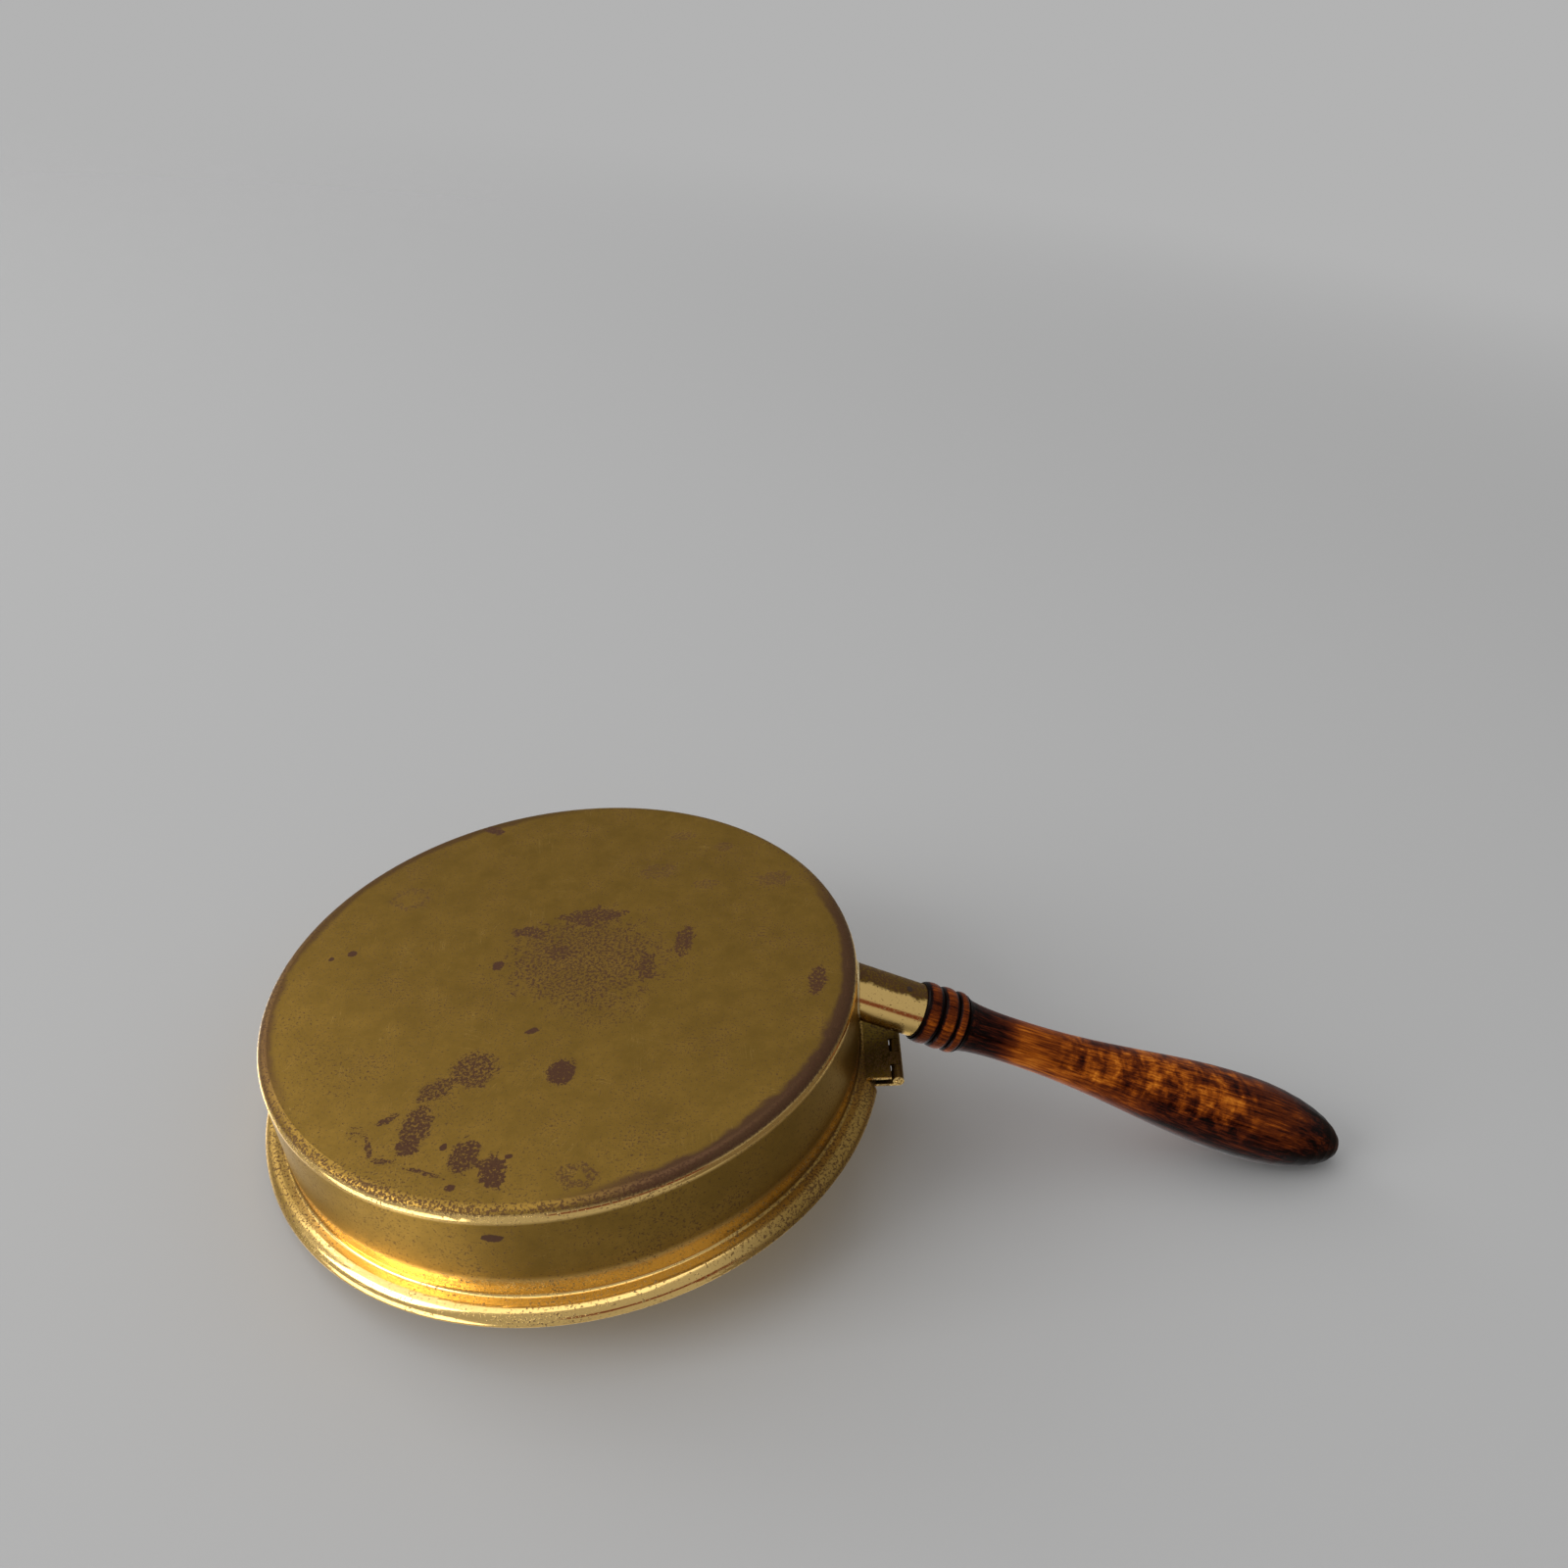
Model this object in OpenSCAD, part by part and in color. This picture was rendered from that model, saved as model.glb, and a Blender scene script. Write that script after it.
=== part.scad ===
// Silent butler: a round brass crumb pan with a hinged, domed lid and a turned wooden
// handle. The pan's base lies on z = 0 around the Z axis, and the handle runs to +X.
// Sheet-metal sections are drawn with x as the radius and y as the height.

/* [Sheet] */
// Thickness of the pan's and the lid's sheet
sheet_t = 0.8; // [0.6:0.1:1]

/* [Pan] */
// Outer radius of the pan's wall
pan_r = 82.5; // [70:0.5:100]
// Outer radius of the corner between base and wall
corner_r = 3; // [1.5:0.25:5]
// Height of the shelf's underside above the table
shelf_z = 29.9; // [27:0.1:45]
// Radius of the hollow under the shelf, where it leaves the wall
crease_r = 0.8; // [0.4:0.1:1.2]
// Flat width of the shelf that carries the lid
shelf_w = 1.7; // [1.4:0.1:4]
// Outer radius of the lip's turn-up
lip_bend_r = 3.4; // [2.4:0.1:4.5]
// Upright height of the lip above its turn-up, with the rounded edge
lip_h = 0.7; // [0.5:0.1:2]

/* [Lid] */
// Gap between the shelf and the lid that lies on it
lid_gap = 0.15; // [0.1:0.05:0.3]
// How far inside the lip's turn-up the lid's flat rim ends
lid_inset = 0; // [0:0.1:0.8]
// Flat width of the lid's rim
lid_rim_w = 3.7; // [3:0.1:6]
// Radius of the hollow between the rim and the rise
lid_crease_r = 1.2; // [0.6:0.1:2]
// Height of the upright rise
lid_rise = 1.8; // [0.5:0.1:6]
// Outer radius of the shoulder between the rise and the dome
shoulder_r = 2.4; // [1.4:0.1:5]
// Outer radius of the shallow dome
dome_r = 380; // [250:5:600]

/* [Hinge] */
// Thickness of the two leaves
leaf_t = 0.7; // [0.5:0.05:0.9]
// Length of the hinge along its pin
hinge_len = 35.4; // [25:0.2:40]
// Distance of the pin's axis outside the lip
hinge_out = 4.1; // [3.5:0.1:6]
// Radial clearance of the pin in its knuckles
pin_clearance = 0.05; // [0.03:0.01:0.08]
// Gap between neighbouring knuckles
knuckle_gap = 0.16; // [0.1:0.02:0.4]
// Gap round a knuckle in the other leaf's notch, and round the lid's leaf in the lip's
notch_gap = 0.35; // [0.3:0.05:0.6]
// Length of each peened pin end that stands out of the knuckles
pin_end = 0.3; // [0.2:0.1:0.8]

/* [Ferrule] */
// Outer radius of the ferrule
ferrule_r = 7.7; // [6.5:0.1:9]
// Wall of the ferrule
ferrule_t = 0.8; // [0.6:0.1:1.2]
// Length of the ferrule along its axis, from the pan's wall
ferrule_len = 18.2; // [14:0.2:26]
// Height at which the handle's axis meets the wall
handle_z = 12.6; // [11.5:0.1:16]
// Rise of the handle's axis above the horizontal
handle_rise = 26.5; // [20:0.5:30]
// Gap that the solder fills between the saddle and the wall
solder_gap = 0.03; // [0.02:0.01:0.1]

/* [Handle] */
// Radial clearance of the tenon in the ferrule
tenon_clearance = 0.05; // [0.03:0.01:0.1]
// Length of the tenon inside the ferrule
tenon_len = 12.5; // [8:0.5:13]
// Width of the ring beside the ferrule
ring_1_w = 5; // [4:0.1:6]
// Width of the middle ring
ring_2_w = 4.6; // [4:0.1:6]
// Width of the ring beside the cove
ring_3_w = 3.1; // [2:0.1:5]
// Largest radius of the ring beside the ferrule
ring_1_r = 8.9; // [8.6:0.05:10]
// Largest radius of the middle ring
ring_2_r = 9; // [8.6:0.05:10]
// Largest radius of the ring beside the cove
ring_3_r = 8.95; // [8.6:0.05:10]
// Width of the grooves between the rings
groove_w = 0.2; // [0.1:0.05:0.6]
// Radius at the bottom of the grooves
groove_r = 8; // [7.8:0.1:8.5]
// Radius at the start of the cove
cove_r = 8.45; // [8.1:0.05:9]
// Length of the cove
cove_len = 15.2; // [10:0.2:20]
// Smallest radius of the handle
neck_r = 6.55; // [5.5:0.05:7.5]
// Length of the swell from the neck to its widest place
swell_len = 81; // [60:1:100]
// Largest radius of the swell
swell_r = 12.45; // [10:0.05:15]
// How far the swell's curve leans towards the end
swell_lean = 1.12; // [1:0.02:1.3]
// Length of the rounded end
end_len = 35.6; // [20:0.2:50]

/* [Nail] */
// Radius of the nail's shank
nail_r = 0.5; // [0.4:0.05:0.7]
// Radius of the nail's head
nail_head_r = 0.9; // [0.75:0.05:1.1]
// Height of the nail's head
nail_head_h = 0.3; // [0.2:0.05:0.4]
// Length of the nail with its head
nail_len = 6; // [4:0.5:8]
// Gap round the nail in its hole
nail_gap = 0.03; // [0.02:0.01:0.1]
// Place of the nail along the handle's axis, from the pan's wall
nail_at = 12.5; // [9:0.1:16]
// Angle of the nail round the ferrule, from its underside
nail_turn = 10; // [0:1:60]

/* [Hidden] */
$fn = 96;

brass = "#b08d3c";
dark_brass = "#94742f";
wood = "#6b2c10";
iron = "#3a302b";

// Pan: radii of the wall, shelf and rim, and heights of the lip
wall_in_r = pan_r - sheet_t;
shelf_in_r = pan_r + crease_r;
shelf_out_r = shelf_in_r + shelf_w;
shelf_top = shelf_z + sheet_t;
rim_r = shelf_out_r + lip_bend_r;
lip_start_z = shelf_z + lip_bend_r;
lip_top = lip_start_z + lip_h;

// Lid: its rim ends in a round edge where the lip starts to turn up
lid_z = shelf_top + lid_gap;
lid_top_z = lid_z + sheet_t;
edge_r = sheet_t / 2;
lid_edge_x = shelf_out_r - lid_inset;
lid_bend_x = lid_edge_x - lid_rim_w;
rise_x = lid_bend_x - lid_crease_r;
rise_z = lid_top_z + lid_crease_r;
shoulder_x = rise_x - shoulder_r;
shoulder_z = rise_z + lid_rise;
dome_z = shoulder_z - sqrt(pow(dome_r - shoulder_r, 2) - shoulder_x * shoulder_x);
dome_angle = asin(shoulder_x / (dome_r - shoulder_r));

// Hinge: both leaves lie tangent to the knuckles, one under the shelf, one on the lid
pan_leaf_z = shelf_z - leaf_t;
lid_leaf_top = lid_top_z + leaf_t;
knuckle_r = (lid_leaf_top - pan_leaf_z) / 2;
bore_r = knuckle_r - leaf_t;
pin_r = bore_r - pin_clearance;
hinge_x = rim_r + hinge_out;
hinge_z = pan_leaf_z + knuckle_r;
knuckles = 7;
knuckle_pitch = hinge_len / knuckles;
leaf_edge_gap = 0.3;
pan_leaf_x = shelf_in_r + leaf_edge_gap;
lid_leaf_x = lid_bend_x + leaf_edge_gap;
lip_notch_angle = asin((hinge_len / 2 + notch_gap) / shelf_out_r);

// Handle: places along its axis, from the pan's wall
tenon_r = ferrule_r - ferrule_t - tenon_clearance;
tenon_chamfer = 0.6;
shoulder_at = ferrule_len;
ring_1_at = shoulder_at + groove_w;
ring_2_at = ring_1_at + ring_1_w + groove_w;
ring_3_at = ring_2_at + ring_2_w + groove_w;
cove_at = ring_3_at + ring_3_w + groove_w;
neck_at = cove_at + cove_len;
widest_at = neck_at + swell_len;
ring_steps = 6;
cove_steps = 6;
swell_steps = 12;
end_steps = 9;

// How far a cutting tool reaches past what it cuts
cut = 1;
// How far the dome's section runs into the shoulder's, so that they fuse
lap = 0.02;

// A turned ring of width w from a place along the axis: half an ellipse that stands on
// the grooves' radius
function ring_points(at, w, r) = [for (i = [0:ring_steps])
    let (turn = 180 * i / ring_steps)
    [groove_r + (r - groove_r) * sin(turn), at + w / 2 * (1 - cos(turn))]];

// The cove's quarter ellipse from the last ring down to the neck
cove_points = [for (i = [0:cove_steps])
    let (turn = 90 * i / cove_steps)
    [neck_r + (cove_r - neck_r) * (1 - sin(turn)), cove_at + cove_len * (1 - cos(turn))]];

// The swell's leaning wave from the neck to the widest place
swell_points = [for (i = [1:swell_steps])
    let (u = i / swell_steps)
    [neck_r + (swell_r - neck_r) * (1 - cos(180 * pow(u, swell_lean))) / 2, neck_at + swell_len * u]];

// The round end's quarter ellipse
end_points = [for (i = [1:end_steps])
    let (turn = 90 * i / end_steps)
    [i == end_steps ? 0 : swell_r * cos(turn), widest_at + end_len * sin(turn)]];

tenon_points = [
    [0, shoulder_at - tenon_len],
    [tenon_r - tenon_chamfer, shoulder_at - tenon_len],
    [tenon_r, shoulder_at - tenon_len + tenon_chamfer],
    [tenon_r, shoulder_at],
    [groove_r, shoulder_at]];

// Straight piece of sheet section from radius x0 to x1 and height z0 to z1
module strip(x0, x1, z0, z1) {
    translate([x0, z0]) square([x1 - x0, z1 - z0]);
}

// Bent piece of sheet section: a ring sector of outer radius r between two angles
module bend(x, z, r, from, to) {
    reach = 2 * r;
    middle = (from + to) / 2;
    translate([x, z]) intersection() {
        difference() {
            circle(r);
            circle(r - sheet_t);
        }
        polygon([[0, 0],
            reach * [cos(from), sin(from)],
            reach * [cos(middle), sin(middle)],
            reach * [cos(to), sin(to)]]);
    }
}

// Section of the pan, from the middle of the base out to the lip's rounded edge
module pan_section() {
    strip(0, pan_r - corner_r, 0, sheet_t);
    bend(pan_r - corner_r, corner_r, corner_r, -90, 0);
    strip(wall_in_r, pan_r, corner_r, shelf_z - crease_r);
    bend(shelf_in_r, shelf_z - crease_r, crease_r + sheet_t, 90, 180);
    strip(shelf_in_r, shelf_out_r, shelf_z, shelf_top);
    bend(shelf_out_r, lip_start_z, lip_bend_r, -90, 0);
    strip(rim_r - sheet_t, rim_r, lip_start_z, lip_top - edge_r);
    translate([rim_r - edge_r, lip_top - edge_r]) circle(edge_r);
}

// Spun brass pan, with a notch in its lip that lets the lid's leaf through
module pan() {
    color(brass) difference() {
        rotate_extrude($fn = 180) pan_section();
        translate([0, 0, lid_top_z - notch_gap]) linear_extrude(lip_top)
            polygon([[0, 0],
                2 * rim_r * [cos(lip_notch_angle), -sin(lip_notch_angle)],
                2 * rim_r * [cos(lip_notch_angle), sin(lip_notch_angle)]]);
    }
}

// Thin slice of the dome between its two spheres, out to the shoulder
module dome_section() {
    reach = dome_r + cut;
    translate([0, dome_z]) intersection() {
        difference() {
            circle(dome_r, $fn = 720);
            circle(dome_r - sheet_t, $fn = 720);
        }
        polygon([[0, 0], [0, reach], [reach * tan(dome_angle) + lap, reach]]);
    }
}

// Spun brass lid that lies on the shelf inside the lip
module lid() {
    color(dark_brass) rotate_extrude($fn = 180) {
        translate([lid_edge_x, lid_z + edge_r]) circle(edge_r);
        strip(lid_bend_x, lid_edge_x, lid_z, lid_top_z);
        bend(lid_bend_x, rise_z, lid_crease_r + sheet_t, 180, 270);
        strip(rise_x - sheet_t, rise_x, rise_z, shoulder_z);
        bend(shoulder_x, shoulder_z, shoulder_r, 0, 90 - dome_angle);
        dome_section();
    }
}

// Cylinder along Y between two places, on the hinge's axis
module on_hinge_axis(y0, y1, r) {
    translate([hinge_x, y0, hinge_z]) rotate([-90, 0, 0]) cylinder(r = r, h = y1 - y0);
}

// Hinge leaf from its edge x0 to the axis, with its own knuckles in steps of two from
// the first one given, and notches round the other leaf's knuckles
module leaf(x0, z0, first) {
    low_y = -hinge_len / 2;
    difference() {
        union() {
            translate([x0, low_y, z0]) cube([hinge_x - x0, hinge_len, leaf_t]);
            for (i = [first:2:knuckles - 1])
                on_hinge_axis(low_y + i * knuckle_pitch, low_y + (i + 1) * knuckle_pitch, knuckle_r);
        }
        for (i = [1 - first:2:knuckles - 1])
            translate([hinge_x - knuckle_r - notch_gap, low_y + i * knuckle_pitch - knuckle_gap / 2,
                    hinge_z - knuckle_r - cut])
                cube([2 * knuckle_r + cut, knuckle_pitch + knuckle_gap, 2 * (knuckle_r + cut)]);
        on_hinge_axis(low_y - cut, -low_y + cut, bore_r);
    }
}

// Leaf soldered under the pan's shelf, with the second, fourth and sixth knuckle
module pan_leaf() {
    color(brass) leaf(pan_leaf_x, pan_leaf_z, 1);
}

// Leaf soldered on the lid's rim, with the four other knuckles
module lid_leaf() {
    color(dark_brass) leaf(lid_leaf_x, lid_top_z, 0);
}

// Pin through the seven knuckles, with rounded ends
module hinge_pin() {
    half = hinge_len / 2;
    color(brass) {
        on_hinge_axis(-half, half, pin_r);
        for (side = [-1, 1])
            translate([hinge_x, side * half, hinge_z]) rotate([-side * 90, 0, 0])
                cylinder(r1 = pin_r, r2 = pin_r - pin_end, h = pin_end);
    }
}

// Places what is drawn along Z on the handle's axis, from the pan's wall outwards
module on_handle_axis() {
    translate([pan_r, 0, handle_z]) rotate([0, 90 - handle_rise, 0]) children();
}

// Places what is drawn along X on the nail's axis, with its head at the ferrule
module on_nail_axis() {
    on_handle_axis() translate([0, 0, nail_at]) rotate([0, 0, nail_turn]) children();
}

// Hole or body of the nail: a shank into the tenon and a head flush with the ferrule
module nail_shape(gap) {
    on_nail_axis() rotate([0, 90, 0]) {
        translate([0, 0, ferrule_r - nail_len]) cylinder(r = nail_r + gap, h = nail_len, $fn = 32);
        translate([0, 0, ferrule_r - nail_head_h - gap])
            cylinder(r = nail_head_r + gap, h = nail_head_h + 2 * gap, $fn = 32);
    }
}

// Ferrule: a tube whose inner end is a saddle on the pan's wall
module ferrule() {
    start = -ferrule_r;
    color(brass) difference() {
        on_handle_axis() difference() {
            translate([0, 0, start]) cylinder(r = ferrule_r, h = ferrule_len - start);
            translate([0, 0, start - cut])
                cylinder(r = ferrule_r - ferrule_t, h = ferrule_len - start + 2 * cut);
        }
        cylinder(r = pan_r + solder_gap, h = lip_top, $fn = 180);
        nail_shape(nail_gap);
    }
}

// Turned wooden handle, with its tenon inside the ferrule
module handle() {
    color(wood) difference() {
        on_handle_axis() rotate_extrude() polygon(concat(
            tenon_points,
            ring_points(ring_1_at, ring_1_w, ring_1_r),
            ring_points(ring_2_at, ring_2_w, ring_2_r),
            ring_points(ring_3_at, ring_3_w, ring_3_r),
            cove_points, swell_points, end_points));
        nail_shape(nail_gap);
    }
}

// Pin nail through the ferrule into the tenon
module ferrule_nail() {
    color(iron) nail_shape(0);
}

pan();
lid();
pan_leaf();
lid_leaf();
hinge_pin();
ferrule();
handle();
ferrule_nail();
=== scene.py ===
"""Looks of a brass silent butler: spun pan and lid, hinge, ferrule and turned wooden handle."""

import logging
import math
from dataclasses import dataclass, field
from enum import Enum

import bpy
from mathutils import Euler, Matrix, Vector


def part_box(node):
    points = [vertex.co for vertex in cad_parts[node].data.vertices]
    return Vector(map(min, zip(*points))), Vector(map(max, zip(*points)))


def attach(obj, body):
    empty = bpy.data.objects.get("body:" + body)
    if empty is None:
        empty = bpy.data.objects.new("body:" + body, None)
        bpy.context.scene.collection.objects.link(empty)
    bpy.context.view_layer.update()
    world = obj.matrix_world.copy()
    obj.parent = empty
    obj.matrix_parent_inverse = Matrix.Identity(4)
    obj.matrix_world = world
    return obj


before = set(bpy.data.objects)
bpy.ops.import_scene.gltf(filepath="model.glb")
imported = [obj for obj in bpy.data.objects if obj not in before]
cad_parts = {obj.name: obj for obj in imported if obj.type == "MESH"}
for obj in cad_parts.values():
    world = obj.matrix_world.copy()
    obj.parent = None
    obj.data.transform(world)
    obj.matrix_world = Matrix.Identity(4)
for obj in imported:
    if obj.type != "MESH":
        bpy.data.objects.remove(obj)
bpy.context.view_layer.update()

MM = 0.001
FLOAT, VECTOR = "NodeSocketFloat", "NodeSocketVector"
LOG = logging.getLogger("silent_butler")

Colour = tuple[float, float, float]
Socket = bpy.types.NodeSocket
Value = float | Socket
Span = tuple[float, float]


def paint(red: int, green: int, blue: int) -> Colour:
    """Turn a colour as a painter would mix it on screen, 0 to 255, into linear light.

    Args:
        red: Red share.
        green: Green share.
        blue: Blue share.

    Returns:
        The linear colour.
    """
    def linear(share: int) -> float:
        """Return one channel in linear light."""
        value = share / 255
        return value / 12.92 if value <= 0.04045 else ((value + 0.055) / 1.055) ** 2.4

    return linear(red), linear(green), linear(blue)


def shade(colour: Colour, share: float) -> Colour:
    """Return a colour made darker or lighter."""
    return tuple(share * light for light in colour)


# ------------------------------------------------------------------ node recipes


class Recipe:
    """Adds and links nodes in one tree, so that a finish reads as a short recipe."""

    def __init__(self, tree: bpy.types.NodeTree) -> None:
        """Keep the tree that nodes are added to."""
        self.tree = tree

    def add(self, kind: str, **settings: object) -> bpy.types.Node:
        """Add a node and set its properties.

        Args:
            kind: The node's type.
            settings: Properties of the node itself.

        Returns:
            The new node.
        """
        node = self.tree.nodes.new(kind)
        for name, value in settings.items():
            setattr(node, name, value)
        return node

    def feed(self, socket: Socket, value: object) -> None:
        """Link a socket into another one, or set a plain value on it.

        Args:
            socket: The input to feed.
            value: A socket, a number, a colour or a vector.
        """
        if isinstance(value, Socket):
            self.tree.links.new(value, socket)
        elif isinstance(value, tuple) and len(value) == 3 and socket.type == "RGBA":
            socket.default_value = (*value, 1.0)
        else:
            socket.default_value = value

    def math(self, operation: str, first: Value, second: Value = 0.0,
             clamp: bool = False) -> Socket:
        """Add a Math node.

        Args:
            operation: The operation's name.
            first: First value.
            second: Second value.
            clamp: Whether the result is held between 0 and 1.

        Returns:
            The result's socket.
        """
        node = self.add("ShaderNodeMath", operation=operation, use_clamp=clamp)
        self.feed(node.inputs[0], first)
        self.feed(node.inputs[1], second)
        return node.outputs[0]

    def most(self, *masks: Value) -> Value:
        """Join masks.

        Args:
            masks: The masks.

        Returns:
            The largest of them.
        """
        result = masks[0]
        for mask in masks[1:]:
            result = self.math("MAXIMUM", result, mask)
        return result

    def step(self, value: Value, low: Value, high: Value, top: float = 1.0) -> Socket:
        """Blend smoothly from 0 to top as a value goes from low to high.

        Args:
            value: What is measured.
            low: Where the result is 0.
            high: Where the result is top.
            top: The highest result.

        Returns:
            The result's socket.
        """
        node = self.add("ShaderNodeMapRange", interpolation_type="SMOOTHSTEP")
        for socket, amount in zip(node.inputs[:5], (value, low, high, 0.0, top)):
            self.feed(socket, amount)
        return node.outputs[0]

    def mix(self, share: Value, first: object, second: object) -> Socket:
        """Mix two colours.

        Args:
            share: Share of the second colour.
            first: The colour at a share of 0.
            second: The colour at a share of 1.

        Returns:
            The colour's socket.
        """
        node = self.add("ShaderNodeMix", data_type="RGBA")
        self.feed(node.inputs[0], share)
        self.feed(node.inputs[6], first)
        self.feed(node.inputs[7], second)
        return node.outputs[2]

    def noise(self, place: Value, scale: float, detail: float = 4.0, rough: float = 0.55,
              warp: float = 0.0) -> Socket:
        """Add fractal noise.

        Args:
            place: Position, in millimetres.
            scale: Features per millimetre.
            detail: Octaves.
            rough: Share of the finer octaves.
            warp: How far the pattern is pulled about.

        Returns:
            The noise value, around 0.5.
        """
        node = self.add("ShaderNodeTexNoise")
        for name, amount in (("Vector", place), ("Scale", scale), ("Detail", detail),
                             ("Roughness", rough), ("Distortion", warp)):
            self.feed(node.inputs[name], amount)
        return node.outputs[0]

    def move(self, place: Value, centre: tuple, turn: tuple, size: tuple) -> Socket:
        """Express a position in the frame of a mark on the surface.

        Args:
            place: Position, in millimetres.
            centre: The mark's centre.
            turn: The mark's turn about each axis, in degrees.
            size: The mark's half sizes.

        Returns:
            The position in units of the mark.
        """
        node = self.add("ShaderNodeMapping", vector_type="TEXTURE")
        self.feed(node.inputs["Vector"], place)
        node.inputs["Location"].default_value = centre
        node.inputs["Rotation"].default_value = [math.radians(angle) for angle in turn]
        node.inputs["Scale"].default_value = size
        return node.outputs[0]

    def group(self, tree: bpy.types.NodeTree, **inputs: object) -> bpy.types.Node:
        """Place a node group.

        Args:
            tree: The group's tree.
            inputs: What to feed to its inputs, by name.

        Returns:
            The group node.
        """
        node = self.add("ShaderNodeGroup", node_tree=tree)
        for name, value in inputs.items():
            self.feed(node.inputs[name], value)
        return node

    def millimetres(self) -> Socket:
        """Measure the surface in millimetres.

        Returns:
            The position on the object.
        """
        place = self.add("ShaderNodeTexCoord").outputs["Object"]
        node = self.add("ShaderNodeVectorMath", operation="SCALE")
        self.feed(node.inputs[0], place)
        node.inputs["Scale"].default_value = 1 / MM
        return node.outputs[0]

    def split(self, place: Value) -> tuple[Socket, ...]:
        """Take a position apart.

        Args:
            place: The position.

        Returns:
            Its x, y and z.
        """
        node = self.add("ShaderNodeSeparateXYZ")
        self.feed(node.inputs[0], place)
        return tuple(node.outputs)

    def distance(self, x: Value, y: Value) -> Socket:
        """Return the distance of x and y from the axis."""
        squares = self.math("ADD", self.math("MULTIPLY", x, x), self.math("MULTIPLY", y, y))
        return self.math("SQRT", squares)

    def bump(self, height: Value) -> Socket:
        """Raise the surface.

        Args:
            height: The height in millimetres.

        Returns:
            The normal's socket.
        """
        node = self.add("ShaderNodeBump")
        node.inputs["Strength"].default_value = 1.0
        node.inputs["Distance"].default_value = MM
        self.feed(node.inputs["Height"], height)
        return node.outputs[0]

    def ramp(self, value: Value, stops: list[tuple[float, Colour]]) -> Socket:
        """Add a colour ramp.

        Args:
            value: Where to read the ramp.
            stops: Positions from 0 to 1 with their colours.

        Returns:
            The colour's socket.
        """
        node = self.add("ShaderNodeValToRGB")
        elements = node.color_ramp.elements
        for position, _ in stops[2:]:
            elements.new(position)
        for element, (position, colour) in zip(elements, stops):
            element.position = position
            element.color = (*colour, 1.0)
        self.feed(node.inputs[0], value)
        return node.outputs[0]


def new_group(name: str, inputs: dict[str, str],
              outputs: dict[str, str]) -> tuple[Recipe, dict, dict]:
    """Start a node group with named sockets.

    Args:
        name: The group's name.
        inputs: Input names with their socket types.
        outputs: Output names with their socket types.

    Returns:
        The group's recipe, its input sockets and its output sockets by name.
    """
    tree = bpy.data.node_groups.new(name, "ShaderNodeTree")
    for in_out, sockets in (("INPUT", inputs), ("OUTPUT", outputs)):
        for label, kind in sockets.items():
            tree.interface.new_socket(name=label, in_out=in_out, socket_type=kind)
    recipe = Recipe(tree)
    start, end = recipe.add("NodeGroupInput"), recipe.add("NodeGroupOutput")
    return recipe, dict(start.outputs.items()), dict(end.inputs.items())


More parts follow.
